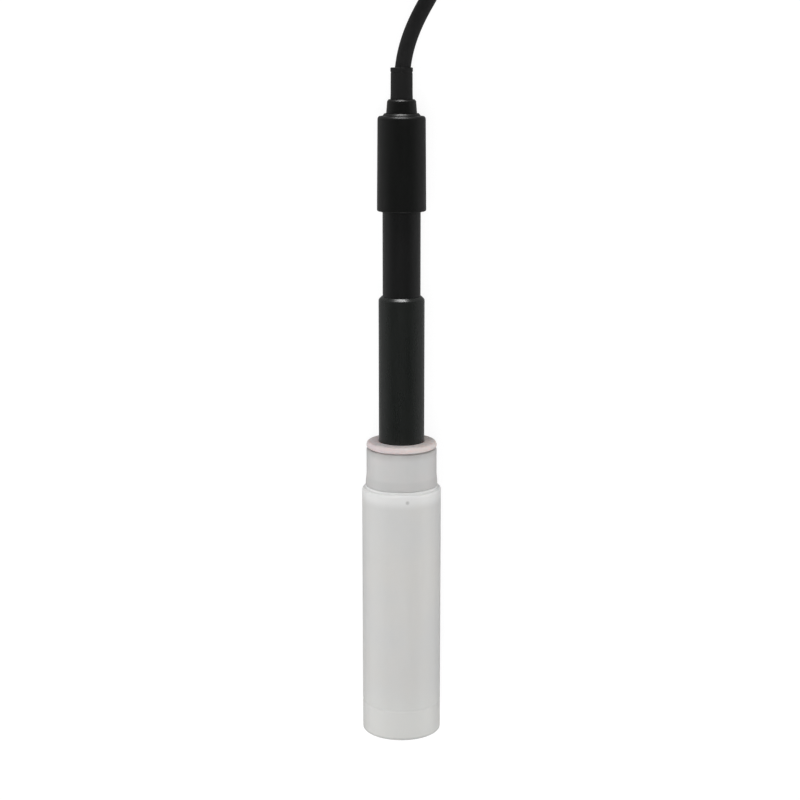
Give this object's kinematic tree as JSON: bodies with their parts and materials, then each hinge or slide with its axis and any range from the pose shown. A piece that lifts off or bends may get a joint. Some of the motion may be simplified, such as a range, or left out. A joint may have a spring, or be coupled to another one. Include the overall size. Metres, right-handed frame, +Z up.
{
  "type": "dissolved oxygen electrode",
  "caption": "Slim black dissolved oxygen electrode with cable and plug, its screw-on membrane tip kept in a milky storage bottle whose cap seals round the barrel.",
  "frame": {"origin": "bottom centre of the box of electrode and bottle, on the surface they lie on; the free cable and its plug are left out of that box", "axes": "+X runs from the bottle's base towards the cable, +Z is up and the lying axis slopes down by 2.5 degrees towards +X"},
  "size_m": [0.3977, 0.037, 0.0291],
  "materials": {
    "bottle_plastic": "milky translucent polyethylene",
    "cap_plastic": "milky translucent polyethylene",
    "seal_silicone": "pinkish silicone",
    "barrel_plastic": "glossy black",
    "shaft_plastic": "satin black",
    "head_plastic": "satin black moulded",
    "sleeve_rubber": "matt black",
    "cable_jacket": "matt black jacket",
    "casting_resin": "cast resin",
    "stem_resin": "turned cast resin",
    "ring_rubber": "black O-ring rubber",
    "gasket_silicone": "red silicone",
    "cathode_metal": "polished gold",
    "anode_metal": "dull silver",
    "wire_coating": "thin coloured coating",
    "lead_wire": "tinned wire",
    "bead_glaze": "glazed bead",
    "membrane_cap_plastic": "satin black",
    "film": "clear film",
    "strap_fabric": "black hook-and-loop strap",
    "plug_plastic": "fine-grained black",
    "plug_metal": "nickel plated",
    "insert_plastic": "black insulator",
    "pin_metal": "gold plated"
  },
  "bodies": {
    "probe": {"lower_barrel": "barrel_plastic", "upper_shaft": "shaft_plastic", "shaft_o_ring": "ring_rubber", "head_cap": "head_plastic", "gland_collar": "head_plastic", "strain_relief_sleeve": "sleeve_rubber", "cable_end": "cable_jacket", "potting_plug": "casting_resin", "electrode_stem": "stem_resin", "stem_o_ring": "ring_rubber", "cathode": "cathode_metal", "anode_sleeve": "anode_metal", "cathode_wire": "wire_coating", "anode_wire": "wire_coating", "thermistor": "bead_glaze", "thermistor_leads": "lead_wire", "cable_lead": "cable_jacket", "cable_hank": "cable_jacket", "cable_tail": "cable_jacket", "cable_tie": "strap_fabric", "plug_boot": "sleeve_rubber", "plug_body": "plug_plastic", "plug_shell": "plug_metal", "plug_insert": "insert_plastic", "plug_pins": "pin_metal"},
    "gasket": {"membrane_gasket": "gasket_silicone"},
    "membrane": {"membrane_cap": "membrane_cap_plastic", "membrane_film": "film", "film_ring": "membrane_cap_plastic"},
    "bottle": {"storage_bottle": "bottle_plastic"},
    "seal": {"cap_seal": "seal_silicone"},
    "cap": {"bottle_cap": "cap_plastic"}
  },
  "joints": [
    {"name": "bottle_slide", "type": "slide", "parent": "probe", "child": "bottle", "axis": [-0.999, 0, 0.0442], "range_m": [0, 0.082]},
    {"name": "cap_lift", "type": "slide", "parent": "bottle", "child": "seal", "axis": [0.999, 0, -0.0442], "range_m": [0, 0.0075]},
    {"name": "cap_turn", "type": "hinge", "parent": "seal", "child": "cap", "pos_m": [-0.0242, 0, 0.01266], "axis": [0.999, 0, -0.0442], "range_deg": [0, 1080]},
    {"name": "gasket_slide", "type": "slide", "parent": "probe", "child": "gasket", "axis": [-0.999, 0, 0.0442], "range_m": [0, 0.006]},
    {"name": "membrane_turn", "type": "hinge", "parent": "gasket", "child": "membrane", "pos_m": [-0.08753, 0, 0.01546], "axis": [-0.999, 0, 0.0442], "range_deg": [0, 1440]}
  ],
  "couplings": [
    {"joint": "cap_lift", "follows": "cap_turn", "m_per_rad": 0.00039789},
    {"joint": "gasket_slide", "follows": "membrane_turn", "m_per_rad": 0.00023873}
  ]
}
